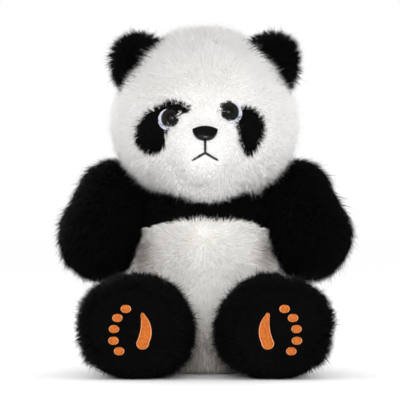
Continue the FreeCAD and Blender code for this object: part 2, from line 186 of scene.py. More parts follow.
def eye_material(name, centre):
    """Polished plastic: a black pupil and a dark olive ring, by distance from the dome's middle."""
    material, nodes, links, shader = new_material(name)
    place = nodes.new("ShaderNodeTexCoord")
    away = nodes.new("ShaderNodeVectorMath")
    away.operation = "DISTANCE"
    away.inputs[1].default_value = centre
    links.new(place.outputs["Object"], away.inputs[0])
    ring = nodes.new("ShaderNodeValToRGB")
    ring.color_ramp.elements[0].position = 0.44
    ring.color_ramp.elements[0].color = (0.0008, 0.0008, 0.001, 1)
    ring.color_ramp.elements[1].position = 0.95
    ring.color_ramp.elements[1].color = (0.002, 0.002, 0.002, 1)
    ring.color_ramp.elements.new(0.6).color = (0.006, 0.0058, 0.004, 1)
    ring.color_ramp.elements.new(0.78).color = (0.005, 0.0047, 0.0035, 1)
    share = nodes.new("ShaderNodeMapRange")
    share.inputs["From Max"].default_value = 8 * MM
    links.new(away.outputs["Value"], share.inputs["Value"])
    links.new(share.outputs["Result"], ring.inputs["Fac"])
    links.new(ring.outputs["Color"], shader.inputs["Base Color"])
    shader.inputs["Roughness"].default_value = 0.04
    shader.inputs["Specular IOR Level"].default_value = 0.1
    return material


WHITE_PILE = pile_material(
    "white_pile",
    root=(0.9, 0.88, 0.86),
    tips=((0.96, 0.95, 0.94), (0.93, 0.915, 0.9), (0.8, 0.79, 0.785)),
    roughness=0.85,
    sheen=0.05,
)
# The cream pile's dark brown last tip colour gives the brownish tint beside the paws and the painted shade
# between the feet.
CREAM_PILE = pile_material(
    "cream_pile",
    root=(0.86, 0.83, 0.79),
    tips=((0.96, 0.945, 0.925), (0.92, 0.895, 0.865), (0.15, 0.1, 0.06)),
    roughness=0.85,
    sheen=0.05,
)
MUZZLE_PILE = pile_material(
    "muzzle_pile",
    root=(0.9, 0.885, 0.865),
    tips=((0.965, 0.96, 0.95), (0.935, 0.925, 0.91)),
    roughness=0.85,
    sheen=0.05,
)
BLACK_PILE = pile_material(
    "black_pile",
    root=(0.0006, 0.0006, 0.0006),
    tips=((0.0008, 0.0008, 0.0009), (0.003, 0.003, 0.0034)),
    roughness=0.5,
    specular=0.06,
)
SOLE_PILE = pile_material(
    "sole_pile",
    root=(0.0006, 0.0006, 0.0008),
    tips=((0.0006, 0.0006, 0.0007), (0.008, 0.008, 0.009)),
    roughness=0.6,
    specular=0.04,
)
BLACK_CLOTH = noisy_material(
    "black_backing",
    (0.0008, 0.0008, 0.0008),
    (0.002, 0.002, 0.002),
    scale=900,
    roughness=0.95,
    bump=0.4,
    specular=0.05,
)
# The pale backing under the strands, painted a grey well below the pile's white: painted shade where the
# strands would shadow it.
PALE_BACKING_PAINTED_SHADE = noisy_material(
    "white_backing_painted_shade",
    (0.53, 0.52, 0.51),
    (0.62, 0.61, 0.6),
    scale=900,
    roughness=0.95,
    bump=0.2,
    specular=0.0,
)
FIBRE = noisy_material(
    "stuffing_fibre",
    (0.82, 0.82, 0.8),
    (0.93, 0.93, 0.92),
    scale=500,
    roughness=0.95,
    bump=0.8,
)
COTTON = noisy_material(
    "bag_cotton",
    (0.62, 0.58, 0.5),
    (0.75, 0.72, 0.65),
    scale=1500,
    roughness=0.9,
    bump=0.6,
)
WASHER = noisy_material(
    "washer_plastic",
    (0.8, 0.8, 0.77),
    (0.86, 0.86, 0.84),
    scale=300,
    roughness=0.45,
    bump=0.1,
)
EYE_WHITE = noisy_material(
    "eye_white_plastic",
    (0.4, 0.41, 0.5),
    (0.52, 0.53, 0.62),
    scale=700,
    roughness=0.4,
    bump=0.1,
    specular=0.1,
)
NOSE = noisy_material(
    "nose_plastic",
    (0.0008, 0.0008, 0.0009),
    (0.002, 0.002, 0.002),
    scale=800,
    roughness=0.16,
    bump=0.1,
    specular=0.07,
)
MOUTH = noisy_material(
    "mouth_thread",
    (0.003, 0.003, 0.003),
    (0.015, 0.015, 0.015),
    scale=2500,
    roughness=0.7,
    bump=0.6,
)
SEAM = noisy_material(
    "seam_thread",
    (0.75, 0.73, 0.7),
    (0.86, 0.85, 0.82),
    scale=2500,
    roughness=0.6,
    bump=0.6,
)
PAD_THREAD = noisy_material(
    "pad_thread",
    (0.2, 0.03, 0.002),
    (0.72, 0.21, 0.035),
    scale=550,
    roughness=0.5,
    specular=0.1,
)
PAD_EDGE = noisy_material(
    "pad_edge_thread",
    (0.5, 0.17, 0.06),
    (0.75, 0.36, 0.18),
    scale=550,
    roughness=0.5,
    specular=0.1,
)


# ---- forms -------------------------------------------------------------------


def make_object(name, mesh, material):
    piece = bpy.data.objects.new(name, mesh)
    bpy.context.scene.collection.objects.link(piece)
    if material is not None:
        mesh.materials.append(material)
    return piece


def settled(piece):
    """The piece's mesh with its modifiers applied."""
    graph = bpy.context.evaluated_depsgraph_get()
    mesh = bpy.data.meshes.new_from_object(piece.evaluated_get(graph))
    piece.modifiers.clear()
    piece.data = mesh
    return piece


def node_points(*nodes):
    """The corners of CAD nodes, thinned to one in each cubic millimetre."""
    points = []
    for node in nodes:
        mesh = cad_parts[node].data
        flat = np.empty(len(mesh.vertices) * 3, np.float32)
        mesh.vertices.foreach_get("co", flat)
        points.append(flat.reshape(-1, 3))
    points = np.concatenate(points)
    return points[np.unique(np.round(points / MM).astype(int), axis=0, return_index=True)[1]]


def add_hull(shape, *nodes):
    """Adds the convex hull of some CAD nodes' corners to a bmesh."""
    verts = [shape.verts.new(point) for point in node_points(*nodes)]
    hull = bmesh.ops.convex_hull(shape, input=verts)
    spare = {item for key in ("geom_interior", "geom_unused") for item in hull[key]}
    bmesh.ops.delete(shape, geom=[v for v in spare if isinstance(v, bmesh.types.BMVert)], context="VERTS")


def plump(name, groups, material, voxel=2.5 * MM, relax=8):
    """A soft closed form: the hull round each group of CAD nodes, made into one even skin and relaxed."""
    shape = bmesh.new()
    for nodes in groups:
        add_hull(shape, *nodes)
    mesh = bpy.data.meshes.new(name)
    shape.to_mesh(mesh)
    shape.free()
    piece = make_object(name, mesh, None)
    remesh = piece.modifiers.new("even", "REMESH")
    remesh.mode = "VOXEL"
    remesh.voxel_size = voxel
    smooth = piece.modifiers.new("relax", "SMOOTH")
    smooth.iterations = relax
    settled(piece)
    piece.data.shade_smooth()
    piece.data.materials.clear()
    piece.data.materials.append(material)
    return piece


def vertices_of(piece):
    flat = np.empty(len(piece.data.vertices) * 3, np.float32)
    piece.data.vertices.foreach_get("co", flat)
    return flat.reshape(-1, 3).astype(float)


def set_vertices(piece, points):
    points[:, 2] = np.maximum(points[:, 2], FLOOR_GAP)
    piece.data.vertices.foreach_set("co", points.astype(np.float32).ravel())
    piece.data.update()


def bulge(piece, centre, radius, push):
    """Moves the part of a form near a centre by a push that fades out at the radius."""
    points = vertices_of(piece)
    fade = 1 - smooth_step(np.linalg.norm(points - np.array(centre), axis=1), 0, radius)
    set_vertices(piece, points + fade[:, None] * np.array(push))


def lumps(piece, size, amount, seed):
    """Uneven stuffing: moves the surface in and out along its normals."""
    points = vertices_of(piece)
    flat = np.empty(len(points) * 3, np.float32)
    piece.data.vertices.foreach_get("normal", flat)
    set_vertices(piece, points + flat.reshape(-1, 3) * (amount * smooth_noise(points, size, seed))[:, None])


def stand_for(piece, body, slot, *nodes, fill=None):
    """The piece rides on a body and stands for these CAD nodes, which it hides. The slot is not used."""
    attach(piece, body)
    if nodes:
        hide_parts(*nodes)
    return piece


# ---- pile --------------------------------------------------------------------


def scatter(form, count, rng):
    """Random places on a form's surface and the smooth normals there."""
    mesh = form.data
    mesh.calc_loop_triangles()
    corners = np.empty(len(mesh.loop_triangles) * 3, np.int32)
    mesh.loop_triangles.foreach_get("vertices", corners)
    corners = corners.reshape(-1, 3)
    points = vertices_of(form)
    flat = np.empty(len(points) * 3, np.float32)
    mesh.vertices.foreach_get("normal", flat)
    normals = flat.reshape(-1, 3)
    first, second, third = (points[corners[:, k]] for k in range(3))
    area = np.linalg.norm(np.cross(second - first, third - first), axis=1) / 2
    number = int(count * area.sum() * 1e4)
    chosen = np.searchsorted(np.cumsum(area) / area.sum(), rng.random(number))
    chosen = np.minimum(chosen, len(area) - 1)
    u, v = rng.random((2, number))
    flip = u + v > 1
    u, v = np.where(flip, 1 - u, u), np.where(flip, 1 - v, v)
    share = np.stack([1 - u - v, u, v], axis=1)
    places = np.einsum("nk,nkx->nx", share, points[corners[chosen]])
    return places, unit(np.einsum("nk,nkx->nx", share, normals[corners[chosen]]))


def spikes(name, roots, directions, bends, widths, shades, material):
    """One mesh of tapered three-sided strands, each with a ring at its root, a ring half way and a tip."""
    count = len(roots)
    side = unit(np.cross(directions, np.array([0.31, 0.87, 0.38])))
    other = unit(np.cross(directions, side))
    rings = []
    for position, girth in ((0.0, 1.0), (0.5, 0.72)):
        centre = roots + directions * position + bends * position**2
        for turn in range(3):
            angle = turn * math.tau / 3
            offset = math.cos(angle) * side + math.sin(angle) * other
            rings.append(centre + offset * (widths * girth / 2)[:, None])
    rings.append(roots + directions + bends)
    points = np.stack(rings, axis=1)
    points[..., 2] = np.maximum(points[..., 2], FLOOR_GAP)
    pattern = []
    for turn in range(3):
        beside = (turn + 1) % 3
        pattern += [turn, beside, 3 + turn, beside, 3 + beside, 3 + turn, 3 + turn, 3 + beside, 6]
    faces = (np.arange(count)[:, None] * STRAND_POINTS + np.array(pattern)[None, :]).ravel()
    mesh = bpy.data.meshes.new(name)
    mesh.vertices.add(count * STRAND_POINTS)
    mesh.vertices.foreach_set("co", points.astype(np.float32).ravel())
    mesh.loops.add(len(faces))
    mesh.loops.foreach_set("vertex_index", faces.astype(np.int32))
    mesh.polygons.add(len(faces) // 3)
    mesh.polygons.foreach_set("loop_start", np.arange(0, len(faces), 3, dtype=np.int32))
    mesh.polygons.foreach_set("use_smooth", np.ones(len(faces) // 3, bool))
    mesh.update()
    height = np.tile(np.array([0.0] * 3 + [0.5] * 3 + [1.0]), count)
    layer = mesh.uv_layers.new(name=PILE_UV)
    uv = np.stack([np.repeat(shades, STRAND_POINTS)[faces], height[faces]], axis=1)
    uv = uv * (1 - 2 * UV_MARGIN) + UV_MARGIN
    layer.data.foreach_set("uv", uv.astype(np.float32).ravel())
    return make_object(name, mesh, material)


def grow(name, form, body, slot, material, comb, per_cm2, length, lean, width, seed, **more):
    """Covers a form with pile.

    comb gives each root's direction along the surface. lean is how far the strands lie over that way, from 0,
    upright, to 1, flat. Both lean and length may be functions of the roots. more may hold a mask and a tone,
    which give 0 to 1 at each root, the tufts' size, tightness and tilt, the droop, the wander, the stray, and
    the share of wisps, which stand out longer than the rest.
    """
    rng = np.random.default_rng(seed)
    roots, normals = scatter(form, per_cm2 * DENSITY, rng)
    if "mask" in more:
        kept = rng.random(len(roots)) < more["mask"](roots, normals)
        roots, normals = roots[kept], normals[kept]
    count = len(roots)
    reach = length(roots) if callable(length) else np.full(count, length)
    reach = reach * rng.uniform(0.65, 1.15, count) * (1 + 0.15 * smooth_noise(roots, 9 * MM, seed + 5))
    wisps = rng.random(count) < more.get("wisps", 0.06)
    reach = np.where(wisps, reach * WISP_STRETCH, reach)
    tangent = comb(roots, normals) + more.get("wander", 0.45) * noise_vectors(roots, 14 * MM, seed + 11)
    tangent = unit(tangent - normals * np.sum(tangent * normals, axis=1, keepdims=True))
    centres = tuft_centres(roots, more.get("tuft", 5 * MM), seed + 23)
    stray = rng.normal(0, more.get("stray", 0.12), (count, 3)) * np.where(wisps, 2, 1)[:, None]
    stray = stray + more.get("tilt", 0.3) * noise_vectors(centres, 0.7 * MM, seed + 17)
    over = (lean(roots) if callable(lean) else np.full(count, lean))[:, None]
    direction = unit(normals * (1 - over) + tangent * over + stray) * reach[:, None]
    gather = (centres - roots) * more.get("tightness", 0.75)
    gather = gather - normals * np.sum(gather * normals, axis=1, keepdims=True)
    bend = tangent * reach[:, None] * 0.22 + gather
    bend[:, 2] -= reach * more.get("droop", 0.12)
    tone = more["tone"](roots) if "tone" in more else 0.4
    shades = tone + 0.15 * smooth_noise(roots, 16 * MM, seed + 31) + rng.normal(0, 0.13, count)
    shades = np.clip(shades, 0, 1)
    widths = width * rng.uniform(0.7, 1.25, count)
    rooted = roots - normals * SINK
    order = np.argsort(roots[:, 0])
    shares = np.array_split(order, max(1, math.ceil(count / STRANDS_PER_PIECE)))
    for index, part in enumerate(shares, start=1):
        label = f"{name}_{index}" if len(shares) > 1 else name
        strands = (rooted[part], direction[part], bend[part], widths[part], shades[part])
        stand_for(spikes(label, *strands, material), body, slot)


def away_from(centre):
    """A comb that runs away from a centre along the surface."""
    return lambda roots, normals: unit(roots - np.array(centre))


def down(roots, normals):
    return np.tile(np.array([0.0, 0.0, -1.0]), (len(roots), 1))


def gap_to(*nodes):
    """A function that gives each point's distance from the nearest of some CAD nodes, up to a centimetre."""
    trees = []
    for node in nodes:
        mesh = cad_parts[node].data
        corners = [tuple(vertex.co) for vertex in mesh.vertices]
        trees.append(BVHTree.FromPolygons(corners, [tuple(face.vertices) for face in mesh.polygons]))

    def gaps(points):
        nearest = np.full(len(points), 10 * MM)
        for tree in trees:
            for index, point in enumerate(points):
                found = tree.find_nearest(Vector(point), 10 * MM)
                if found[3] is not None:
                    nearest[index] = min(nearest[index], found[3])
        return nearest

    return gaps


def blacken(skin, chosen):
    """Gives a black backing to the faces of a skin whose centres are chosen."""
    skin.data.materials.append(BLACK_CLOTH)
    centres = np.array([face.center for face in skin.data.polygons])
    skin.data.polygons.foreach_set("material_index", chosen(centres).astype(np.int32))


def middle(node):
    low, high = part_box(node)
    return np.array((low + high) / 2)


def finish_node(node, material):
    """Gives a finished material to a CAD node that is shown as it is or stays inside."""
    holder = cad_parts[node]
    holder.data.materials.clear()
    holder.data.materials.append(material)


# ---- head --------------------------------------------------------------------


MUZZLE = middle("muzzle_panel")
HEAD_PILE_FROM = 21 * MM  # the head's long pile starts this far from the muzzle's middle
MUZZLE_PILE_TO = 22 * MM  # the muzzle's short pile ends this far from its middle
EAR_ROOT = 5.5 * MM  # how far the ears' black pile reaches onto the head
PATCH_EDGE = 0.8 * MM  # how far the eye patches' dark pile reaches past them
DOME_REACH = 7.9 * MM  # just over the radius of an eye's dome
PATCH_GAPS = {side: gap_to(f"{side}_eye_patch") for side, _ in SIDES}
EYE_WHITE_GAP = gap_to("left_eye_white", "right_eye_white")
EAR_GAP = gap_to("left_ear", "right_ear")
MOUTH_GAP = gap_to("nose", "mouth_stitches")


def patch_gap(roots):
    return np.minimum(PATCH_GAPS["left"](roots), PATCH_GAPS["right"](roots))


def to_muzzle(roots):
    return np.linalg.norm(roots - MUZZLE, axis=1)


def eye_front(side):
    """The middle of the eye's dome: the point furthest from its shank's end."""
    points = node_points(f"{side}_eye")
    shank_end = points[np.argmax(points[:, 1])]
    return points[np.argmax(np.linalg.norm(points - shank_end, axis=1))]


def beyond_domes(roots):
    """0 behind either eye's dome, seen from the front, and 1 outside it."""
    clear = np.ones(len(roots))
    for side, _ in SIDES:
        across = np.hypot(roots[:, 0] - eye_front(side)[0], roots[:, 2] - eye_front(side)[2])
        clear *= (across > DOME_REACH) | (roots[:, 1] > 0)
    return clear


def make_head_skin():
    """The head and its muzzle as one stuffed form: full low cheeks, and a chin that hangs over the neck."""
    skin = plump("head_skin", [("head_cover",), ("muzzle_panel",)], PALE_BACKING_PAINTED_SHADE, relax=25)
    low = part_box("head_cover")[0]
    bulge(skin, (0, -0.05, low.z), radius=0.05, push=(0, -0.002, -0.0125))
    lumps(skin, size=30 * MM, amount=0.7 * MM, seed=3)
    stand_for(skin, "head", "white_plush", "head_cover", "muzzle_panel", fill=0.8)
    blacken(skin, lambda centres: EAR_GAP(centres) < EAR_ROOT)
    return skin


def grow_head_pile(skin):
    def mask(roots, normals):
        """Everywhere but the eyes, their patches, the muzzle and the ears' roots."""
        share = beyond_domes(roots) * (patch_gap(roots) > PATCH_EDGE) * (to_muzzle(roots) > HEAD_PILE_FROM)
        return share * (EYE_WHITE_GAP(roots) > 0.6 * MM) * (EAR_GAP(roots) > EAR_ROOT)

    def length(roots):
        """Short round the muzzle and the patches, and long towards the outline."""
        free = 3.8 * MM + 6 * MM * smooth_step(to_muzzle(roots), 0.02, 0.08)
        return free * (0.6 + 0.4 * smooth_step(patch_gap(roots), 2 * MM, 9 * MM))

    def comb(roots, normals):
        outwards = unit(roots - (MUZZLE + np.array([0, 0.02, 0.012])))
        return outwards + 0.4 * down(roots, normals)

    def lean(roots):
        """Flatter on the face, and more upright towards the outline and the crown."""
        return 0.58 - 0.3 * smooth_step(to_muzzle(roots), 0.04, 0.08)

    def tone(roots):
        """A little greyer towards the crown."""
        return 0.35 + 0.4 * smooth_step(roots[:, 2], 0.225, 0.27)

    grow(
        "head_pile",
        skin,
        "head",
        "white_plush",
        WHITE_PILE,
        comb=comb,
        per_cm2=210,
        length=length,
        lean=lean,
        width=0.36 * MM,
        seed=101,
        mask=mask,
        tone=tone,
        tuft=3 * MM,
        tightness=0.3,
        tilt=0.15,
        stray=0.22,
        wisps=0.1,
    )


def grow_muzzle_pile(skin):
    def mask(roots, normals):
        near = (to_muzzle(roots) <= MUZZLE_PILE_TO) * (MOUTH_GAP(roots) > 0.8 * MM)
        return near * beyond_domes(roots)

    grow(
        "muzzle_pile",
        skin,
        "head",
        "short_white_plush",
        MUZZLE_PILE,
        comb=away_from(MUZZLE + (0, 0.012, 0.008)),
        per_cm2=420,
        length=3 * MM,
        lean=0.6,
        width=0.3 * MM,
        seed=131,
        mask=mask,
        tone=lambda roots: np.full(len(roots), 0.3),
        tuft=2.5 * MM,
        tightness=0.2,
        stray=0.12,
        tilt=0.1,
        wander=0.25,
    )


def grow_ear_root_pile(skin):
    """The black pile on the head round the ears' roots, combed towards the middle of the face."""
    grow(
        "ear_root_pile",
        skin,
        "head",
        "black_plush",
        BLACK_PILE,
        comb=lambda roots, normals: unit(MUZZLE + (0, 0, 0.06) - roots),
        per_cm2=260,
        length=7.5 * MM,
        lean=0.5,
        width=0.5 * MM,
        seed=151,
        mask=lambda roots, normals: EAR_GAP(roots) <= EAR_ROOT,
        tuft=3.5 * MM,
    )


def make_mouth():
    """The mouth's thread: its CAD strips made round and a little thicker."""
    piece = make_object("mouth_thread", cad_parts["mouth_stitches"].data.copy(), None)
    remesh = piece.modifiers.new("even", "REMESH")
    remesh.mode = "VOXEL"
    remesh.voxel_size = 0.25 * MM
    thicken = piece.modifiers.new("thicken", "DISPLACE")
    thicken.strength = 0.4 * MM
    thicken.mid_level = 0
    settled(piece)
    piece.data.shade_smooth()
    piece.data.materials.clear()
    piece.data.materials.append(MOUTH)
    stand_for(piece, "head", "black_thread", "mouth_stitches")


def dome_band(front, sign, inwards, upwards, spread, outer):
    """A mask for a band along a dome's edge, on the side that inwards and upwards point to."""

    def mask(roots, normals):
        away = roots - front
        across = np.hypot(away[:, 0], away[:, 2])
        beside = -sign * away[:, 0] * inwards + away[:, 2] * upwards > spread * across
        return (across > DOME_REACH) & (across < outer) & beside & (roots[:, 1] < 0)

    return mask


def make_eye(side, sign, skin):
    """The pile that falls over an eye, the dark pile of its patch, and the finish of its own pieces."""
    front = eye_front(side)

    def over_dome(roots, normals):
        return unit(front + (0, 0.004, 0) - roots)

    grow(
        f"{side}_lid_pile",
        skin,
        "head",
        "white_plush",
        WHITE_PILE,
        comb=over_dome,
        per_cm2=330,
        length=6.6 * MM,
        lean=0.4,
        width=0.36 * MM,
        seed=181 + sign,
        mask=dome_band(front, sign, inwards=0.75, upwards=-0.65, spread=0.3, outer=10.5 * MM),
        tuft=2 * MM,
        tightness=0.5,
        wander=0.2,
    )
    grow(
        f"{side}_lash_pile",
        skin,
        "head",
        "black_plush",
        BLACK_PILE,
        comb=over_dome,
        per_cm2=300,
        length=6 * MM,
        lean=0.42,
        width=0.4 * MM,
        seed=191 + sign,
        mask=dome_band(front, sign, inwards=0.6, upwards=0.8, spread=0.55, outer=9.6 * MM),
        tuft=2 * MM,
    )
    grow(
        f"{side}_eye_patch_pile",
        skin,
        "head",
        "black_plush",
        BLACK_PILE,
        comb=away_from(middle(f"{side}_eye_patch") + (0, 0.004, 0)),
        per_cm2=360,
        length=5.2 * MM,
        lean=0.45,
        width=0.42 * MM,
        seed=141 + sign,
        mask=lambda roots, normals: (PATCH_GAPS[side](roots) < PATCH_EDGE) * beyond_domes(roots),
        tuft=3 * MM,
    )
    finish_node(f"{side}_eye", eye_material(f"{side}_eye_plastic", tuple(front)))
    finish_node(f"{side}_eye_white", EYE_WHITE)
    finish_node(f"{side}_eye_washer", WASHER)
    finish_node(f"{side}_eye_patch", BLACK_CLOTH)


def make_ear(side, sign):
    ear = plump(f"{side}_ear_skin", [(f"{side}_ear",)], BLACK_CLOTH, voxel=1.8 * MM, relax=5)
    low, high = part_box(f"{side}_ear")
    bulge(ear, (sign * 0.07, low.y, high.z), radius=0.04, push=(sign * 0.002, -0.002, 0.004))
    stand_for(ear, "head", "black_plush", f"{side}_ear", fill=0.3)
    grow(
        f"{side}_ear_pile",
        ear,
        "head",
        "black_plush",
        BLACK_PILE,
        comb=away_from(middle(f"{side}_ear") + (sign * 0.002, 0.004, 0)),
        per_cm2=230,
        length=9 * MM,
        lean=0.45,
        width=0.5 * MM,
        seed=161 + sign,
        tuft=3.2 * MM,
        tightness=0.85,
    )


def make_head():
    skin = make_head_skin()
    grow_head_pile(skin)
    grow_muzzle_pile(skin)
    grow_ear_root_pile(skin)
    for side, sign in SIDES:
        make_eye(side, sign, skin)
        make_ear(side, sign)
    finish_node("nose", NOSE)
    finish_node("nose_washer", WASHER)
    make_mouth()
    finish_node("head_stuffing", FIBRE)


# ---- torso -------------------------------------------------------------------


YOKE_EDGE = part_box("shoulder_yoke")[0].z  # where the black shoulders meet the pale belly
BELLY_MIDDLE = np.array((0, 0, YOKE_EDGE - 0.026))  # where its pile parts
BACK_FROM = 0.004  # where the cream belly pile ends and the white back pile begins
TORSO_PANELS = ("shoulder_yoke", "belly_panel", "back_panel", "seat_panel")
FINE_PILE = {"tuft": 4 * MM, "tightness": 0.35, "stray": 0.16, "tilt": 0.15}


def above_edge(points):
    """How far above the black pile's edge some points are. In front the edge arches down to either side."""
    front = 1 - smooth_step(points[:, 1], 0.0, 0.03)
    arch = 2 * MM + 5 * MM * np.minimum(np.abs(points[:, 0]) / 0.045, 1) ** 2
    return points[:, 2] - YOKE_EDGE + front * arch + 1.2 * MM * smooth_noise(points, 7 * MM, 71)


def belly_tint_and_painted_shade(roots):
    """Brownish beside the paws, and a darker brown between the feet, which is painted shade where the legs
    shadow the belly.
    """
    side = np.abs(roots[:, 0])
    by_paw = np.exp(-(((side - 0.046) / 0.011) ** 2) - ((roots[:, 2] - 0.096) / 0.02) ** 2)
    painted_shade_between_feet = (1 - smooth_step(side, 0.015, 0.045)) * (1 - smooth_step(roots[:, 2], 0.02, 0.08))
    return 0.2 + 0.6 * by_paw + 0.7 * painted_shade_between_feet


def make_torso_skin():
    skin = plump("torso_skin", [TORSO_PANELS], PALE_BACKING_PAINTED_SHADE)
    blacken(skin, lambda centres: above_edge(centres) > 0)
    lumps(skin, size=28 * MM, amount=0.7 * MM, seed=7)
    return stand_for(skin, "torso", "cream_plush", *TORSO_PANELS, fill=0.7)


def below_yoke(roots, normals):
    """The pale pile's share of the torso, without the seat."""
    return (above_edge(roots) <= 0) & (normals[:, 2] > -0.8)


def grow_belly_pile(skin):
    def comb(roots, normals):
        """Out from the middle of the belly, and a little down."""
        outwards = roots - BELLY_MIDDLE
        outwards[:, 1] = 0
        away = np.linalg.norm(outwards, axis=1, keepdims=True)
        return outwards / (away + 0.014) + 0.3 * down(roots, normals)

    def length(roots):
        """Shorter just under the black pile's edge."""
        return 9 * MM - 3.5 * MM * smooth_step(above_edge(roots), -0.012, -0.005)

    grow(
        "belly_pile",
        skin,
        "torso",
        "cream_plush",
        CREAM_PILE,
        comb=comb,
        per_cm2=190,
        length=length,
        lean=0.62,
        width=0.4 * MM,
        seed=201,
        mask=lambda roots, normals: below_yoke(roots, normals) & (roots[:, 1] < BACK_FROM),
        tone=belly_tint_and_painted_shade,
        **FINE_PILE,
    )


def grow_back_pile(skin):
    grow(
        "back_pile",
        skin,
        "torso",
        "white_plush",
        WHITE_PILE,
        comb=down,
        per_cm2=150,
        length=9 * MM,
        lean=0.62,
        width=0.42 * MM,
        seed=211,
        mask=lambda roots, normals: below_yoke(roots, normals) & (roots[:, 1] >= BACK_FROM),
        **FINE_PILE,
    )


def grow_yoke_pile(skin):
    def comb(roots, normals):
        """Down over the shoulders, and up beside the pale pile's edge."""
        return down(roots, normals) * (2 * smooth_step(above_edge(roots), 0.002, 0.02) - 1)[:, None]

    def length(roots):
        return 5 * MM + 6 * MM * smooth_step(above_edge(roots), 0, 0.02)

    grow(
        "yoke_pile",
        skin,
        "torso",
        "black_plush",
        BLACK_PILE,
        comb=comb,
        per_cm2=150,
        length=length,
        lean=0.6,
        width=0.48 * MM,
        seed=221,
        mask=lambda roots, normals: (above_edge(roots) > 0) & (normals[:, 2] < 0.97),
        tuft=5 * MM,
    )


def make_tail():
    tail = plump("tail_skin", [("tail",)], PALE_BACKING_PAINTED_SHADE, voxel=1.5 * MM, relax=4)
    stand_for(tail, "torso", "white_plush", "tail", fill=0.6)
    base = away_from((0, middle("tail")[1] - 0.012, middle("tail")[2]))
    grow(
        "tail_pile",
        tail,
        "torso",
        "white_plush",
        WHITE_PILE,
        comb=base,
        per_cm2=200,
        length=8 * MM,
        lean=0.4,
        width=0.42 * MM,
        seed=231,
    )


def make_torso():
    skin = make_torso_skin()
    grow_belly_pile(skin)
    grow_back_pile(skin)
    grow_yoke_pile(skin)
    make_tail()
    finish_node("torso_stuffing", FIBRE)
    finish_node("pellet_bag", COTTON)
    finish_node("closing_stitches", SEAM)


# ---- arms and legs -----------------------------------------------------------


SOLE_DEPTH = 0.012  # how far back from its front a foot still counts as sole


def make_arm(side, sign):
    skin = plump(f"{side}_arm_skin", [(f"{side}_arm_cover",)], BLACK_CLOTH)
    lumps(skin, size=24 * MM, amount=0.8 * MM, seed=11 + sign)
    stand_for(skin, f"{side}_arm", "black_plush", f"{side}_arm_cover", fill=0.8)
    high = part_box(f"{side}_arm_cover")[1]
    shoulder = np.array((sign * 0.045, 0.005, high.z))
    grow(
        f"{side}_arm_pile",
        skin,
        f"{side}_arm",
        "black_plush",
        BLACK_PILE,
        comb=lambda roots, normals: unit(roots - shoulder) + 0.6 * down(roots, normals),
        per_cm2=150,
        length=11 * MM,
        lean=0.5,
        width=0.55 * MM,
        seed=301 + sign,
        tuft=3.5 * MM,
        tightness=0.85,
    )
    finish_node(f"{side}_arm_stuffing", FIBRE)


def make_leg(side, sign):
    nodes = (f"{side}_leg_cover", f"{side}_sole_panel")
    skin = plump(f"{side}_leg_skin", [nodes], BLACK_CLOTH)
    low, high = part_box(f"{side}_leg_cover")
    outer_side = high.x if sign > 0 else low.x
    bulge(skin, (outer_side, low.y, 0.7 * high.z), radius=0.05, push=(sign * 0.005, 0, 0.002))
    lumps(skin, size=24 * MM, amount=0.6 * MM, seed=17 + sign)
    stand_for(skin, f"{side}_leg", "black_plush", *nodes, fill=0.8)
    sole = middle(f"{side}_sole_panel")
    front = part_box(f"{side}_sole_panel")[0].y
    pad_gap = gap_to(f"{side}_main_pad", f"{side}_toe_pads")

    def on_sole(roots, normals):
        """The flat front of the foot."""
        return (normals[:, 1] < -0.93) & (roots[:, 1] < front + SOLE_DEPTH)

    def comb(roots, normals):
        outwards = roots - sole
        outwards[:, 1] *= 0.3
        return unit(outwards) + np.array([0, -0.35, 0])

    def length(roots):
        """Shorter near the floor."""
        return 12 * MM * (0.4 + 0.6 * smooth_step(roots[:, 2], 0.002, 0.022))

    grow(
        f"{side}_leg_pile",
        skin,
        f"{side}_leg",
        "black_plush",
        BLACK_PILE,
        comb=comb,
        per_cm2=150,
        length=length,
        lean=0.45,
        width=0.55 * MM,
        seed=401 + sign,
        mask=lambda roots, normals: ~on_sole(roots, normals),
        tuft=3.5 * MM,
        tightness=0.85,
    )
    grow(
        f"{side}_sole_pile",
        skin,
        f"{side}_leg",
        "sole_plush",
        SOLE_PILE,
        comb=away_from(sole),
        per_cm2=420,
        length=3 * MM,
        lean=0.5,
        width=0.36 * MM,
        seed=421 + sign,
        mask=lambda roots, normals: on_sole(roots, normals) & (pad_gap(roots) > 0.6 * MM),
        tuft=2.5 * MM,
        tightness=0.3,
    )
    make_pads(side, sign)
    finish_node(f"{side}_leg_stuffing", FIBRE)


# ---- embroidered foot pads ---------------------------------------------------


STITCH_PITCH = 0.5 * MM
THREAD_RADIUS = 0.34 * MM
EDGE_RADIUS = 0.5 * MM
EDGE_INSET = 0.5 * MM  # how far inside the pad's outline its edge cord lies
LEG_SPLAY = math.radians(6)  # how far each foot turns outwards


def cross_rows(node, across, up):
    """Where stitch rows cross the node's pads: for each pad, a list of (height, first end, last end)."""
    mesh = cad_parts[node].data
    points = np.array([vertex.co for vertex in mesh.vertices])
    heights = points @ up
    sides = points @ across
    ends = np.array([edge.vertices for edge in mesh.edges])
    groups = []
    row = heights.min() + STITCH_PITCH / 2
    last = None
    while row < heights.max():
        low, high = heights[ends[:, 0]], heights[ends[:, 1]]
        crossing = (low - row) * (high - row) < 0
        if crossing.any():
            share = (row - low[crossing]) / (high[crossing] - low[crossing])
            first, second = sides[ends[crossing, 0]], sides[ends[crossing, 1]]
            found = first + share * (second - first)
            if last is None or row - last > 1.5 * STITCH_PITCH:
                groups.append([])
            groups[-1].append((row, found.min(), found.max()))
            last = row
        row += STITCH_PITCH
    return groups


